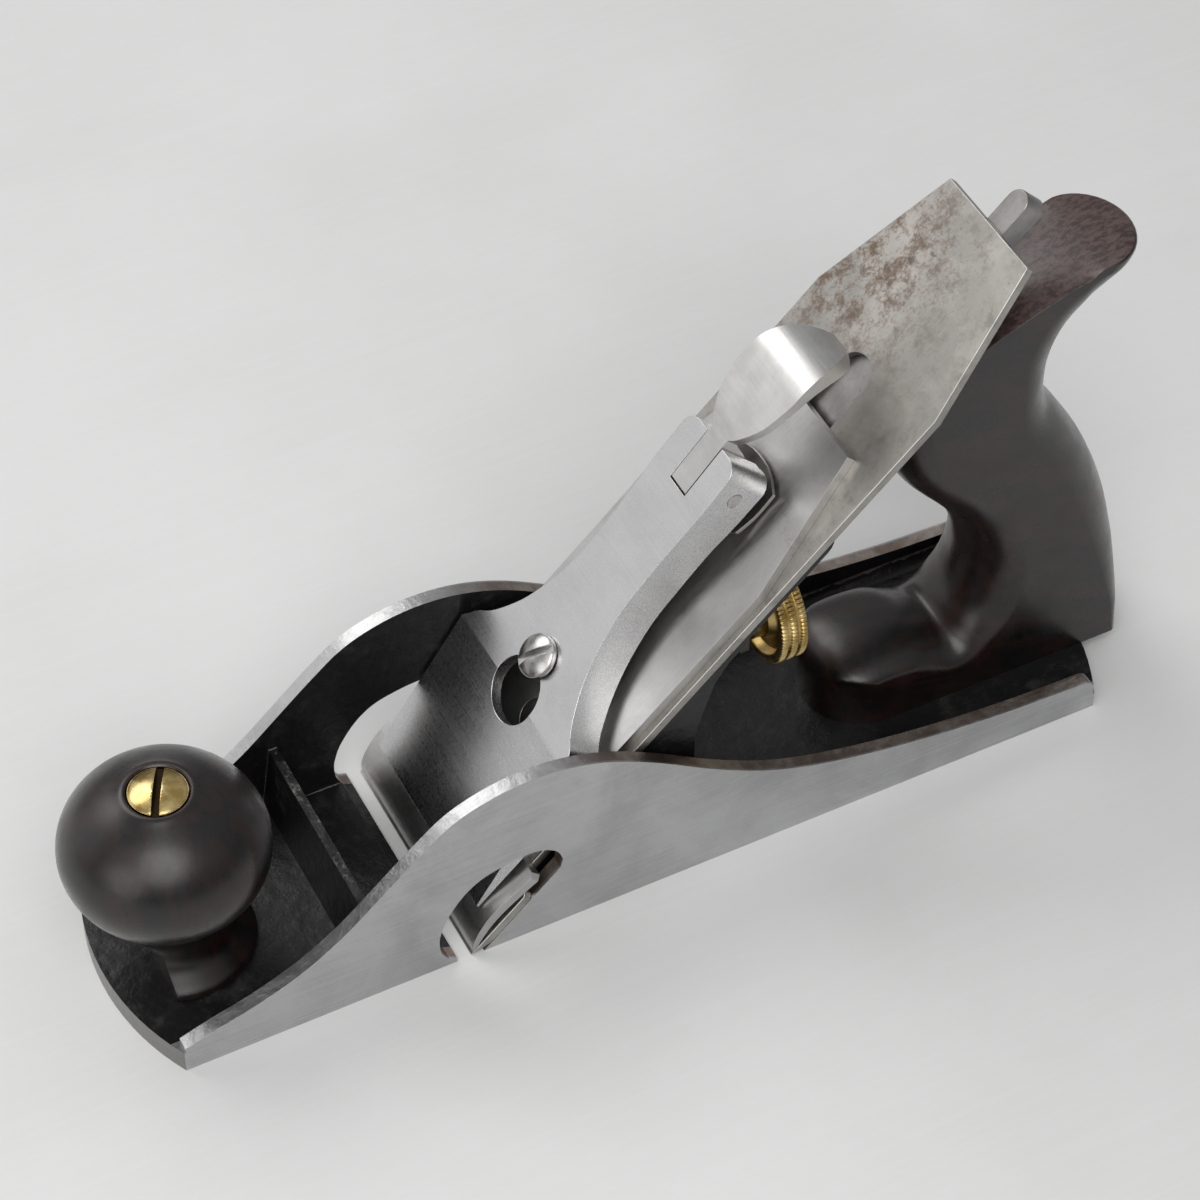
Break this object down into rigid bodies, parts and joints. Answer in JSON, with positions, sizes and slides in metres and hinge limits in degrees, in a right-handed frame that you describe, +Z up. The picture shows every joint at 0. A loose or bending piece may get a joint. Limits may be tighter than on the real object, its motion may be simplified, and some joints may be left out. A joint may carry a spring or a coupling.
{
  "type": "rabbet plane",
  "caption": "Metal bench plane with full-width iron open at both cheeks, wooden knob and tote, depth wheel, lateral lever and lever cap",
  "frame": {"origin": "middle of the flat sole, halfway between the rounded heel and toe", "axes": "+X to the toe along the sole, +Y to the plane's left cheek, +Z up, square to the sole"},
  "size_m": [0.2378, 0.054, 0.1307],
  "materials": {
    "body_iron": "ground cheeks and sole, worn dark japanning inside",
    "brass": "satin, tarnished in the grooves",
    "cap_metal": "satin, lightly scratched",
    "iron_steel": "mottled brown-grey patina",
    "japanned": "worn dark japanning",
    "rosewood": "dark oiled and worn",
    "small_steel": "dull, slightly rusted",
    "spring_steel": "dark spring steel"
  },
  "bodies": {
    "root": {"body": "body_iron", "frog": "japanned", "frog_screws": "small_steel", "frog_washers": "small_steel", "knob": "rosewood", "knob_stud": "small_steel", "knob_nut": "brass", "tote": "rosewood", "tote_stud": "small_steel", "tote_nut": "brass", "lever_cap_screw": "small_steel", "depth_stud": "small_steel", "yoke_pin": "small_steel", "lateral_rivet": "small_steel"},
    "depth_hub": {"depth_hub": "brass"},
    "depth_wheel": {"depth_wheel": "brass"},
    "yoke": {"yoke": "japanned"},
    "iron_slide": {"cap_iron_screw": "small_steel"},
    "iron_set": {"iron": "iron_steel", "cap_iron": "cap_metal"},
    "lateral_lever": {"lateral_lever": "spring_steel", "lateral_disc": "small_steel", "disc_rivet": "small_steel"},
    "lever_cap": {"lever_cap": "cap_metal", "cam_pin": "small_steel", "cap_spring": "spring_steel", "spring_rivet": "spring_steel"},
    "cam_lever": {"cam_lever": "cap_metal"}
  },
  "joints": [
    {"name": "depth_hub_travel", "type": "slide", "parent": "root", "child": "depth_hub", "axis": [-1, 0, 0], "range_m": [-0.0013, 0.0013]},
    {"name": "depth_wheel_spin", "type": "hinge", "parent": "depth_hub", "child": "depth_wheel", "pos_m": [-0.0382, 0, 0.0397], "axis": [-1, 0, 0], "range_deg": [-442, 442]},
    {"name": "yoke_swing", "type": "hinge", "parent": "root", "child": "yoke", "pos_m": [-0.02027, 0, 0.05006], "axis": [0, 1, 0], "range_deg": [-7.2, 7.2]},
    {"name": "iron_depth", "type": "slide", "parent": "root", "child": "iron_slide", "axis": [-0.7071, 0, 0.7071], "range_m": [-0.0013, 0.0013]},
    {"name": "iron_tilt", "type": "hinge", "parent": "iron_slide", "child": "iron_set", "pos_m": [0.0131, 0, 0.0297], "axis": [0.7071, 0, 0.7071], "range_deg": [-0.85, 0.85]},
    {"name": "lateral_swing", "type": "hinge", "parent": "root", "child": "lateral_lever", "pos_m": [-0.03265, 0, 0.07092], "axis": [0.7071, 0, 0.7071], "range_deg": [-5, 5]},
    {"name": "lever_cap_slide", "type": "slide", "parent": "root", "child": "lever_cap", "axis": [-0.7071, 0, 0.7071], "range_m": [0, 0.009]},
    {"name": "cam_lever_lift", "type": "hinge", "parent": "lever_cap", "child": "cam_lever", "pos_m": [-0.0243, 0, 0.08478], "axis": [0, 1, 0], "range_deg": [0, 90]}
  ],
  "couplings": [
    {"joint": "depth_wheel_spin", "follows": "depth_hub_travel", "rad_per_m": 5927.5},
    {"joint": "yoke_swing", "follows": "depth_hub_travel", "rad_per_m": 96.525},
    {"joint": "iron_depth", "follows": "depth_hub_travel", "ratio": -0.98456},
    {"joint": "iron_tilt", "follows": "lateral_swing", "ratio": -0.16038}
  ]
}
